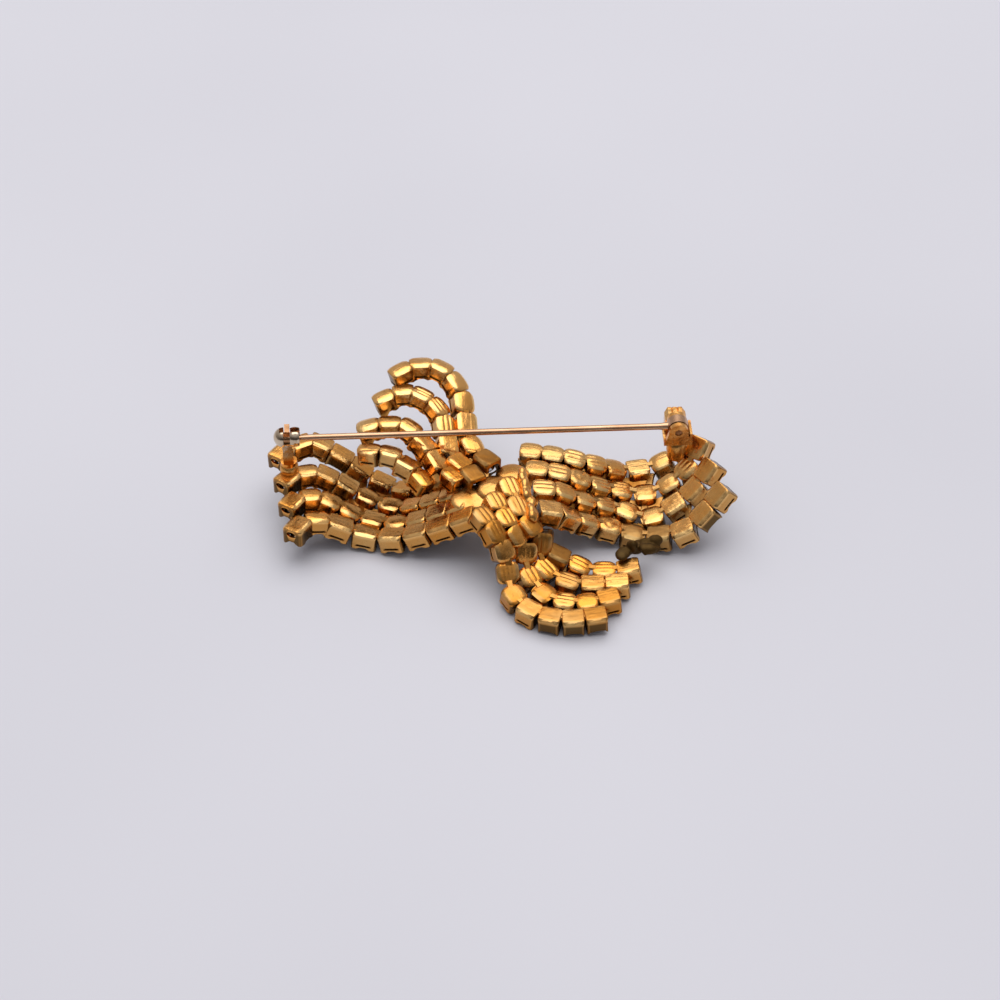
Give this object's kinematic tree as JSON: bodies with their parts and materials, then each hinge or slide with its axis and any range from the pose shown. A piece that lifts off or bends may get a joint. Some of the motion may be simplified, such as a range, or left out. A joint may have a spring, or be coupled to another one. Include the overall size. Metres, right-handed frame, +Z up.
{
  "type": "bow brooch",
  "caption": "Bow brooch of soldered gold-plated cup chain set with clear cut stones, lying on its front, with a hinged pin and a roll-over catch on its back",
  "frame": {"origin": "the middle of the brooch's outline, on the surface it lies on", "axes": "+X runs along the bow towards the hinge end, +Y away from the viewer of the picture, +Z up, out of the back of the brooch"},
  "size_m": [0.0646, 0.0412, 0.0163],
  "materials": {
    "gold_plate": "polished gold plate over brass",
    "clear_stone": "clear cut glass, faceted",
    "silver_plate": "worn pale plate over brass",
    "pin_wire": "drawn wire, pale gold plate"
  },
  "bodies": {
    "brooch": {"bow_frame": "gold_plate", "stones_left": "clear_stone", "stones_upper": "clear_stone", "stones_right": "clear_stone", "stones_lower": "clear_stone", "catch_housing": "silver_plate", "hinge_body": "gold_plate", "hinge_rivet": "silver_plate"},
    "pin": {"pin_stem": "pin_wire"},
    "roller": {"catch_roller": "silver_plate"}
  },
  "joints": [
    {"name": "pin_hinge", "type": "hinge", "parent": "brooch", "child": "pin", "pos_m": [0.02468, 0.00725, 0.01301], "axis": [-0.0175, 0.9998, 0], "range_deg": [0, 95]},
    {"name": "catch_roll", "type": "hinge", "parent": "brooch", "child": "roller", "pos_m": [-0.02923, 0.00631, 0.01301], "axis": [0.9998, 0.0175, 0], "range_deg": [0, 100]}
  ]
}
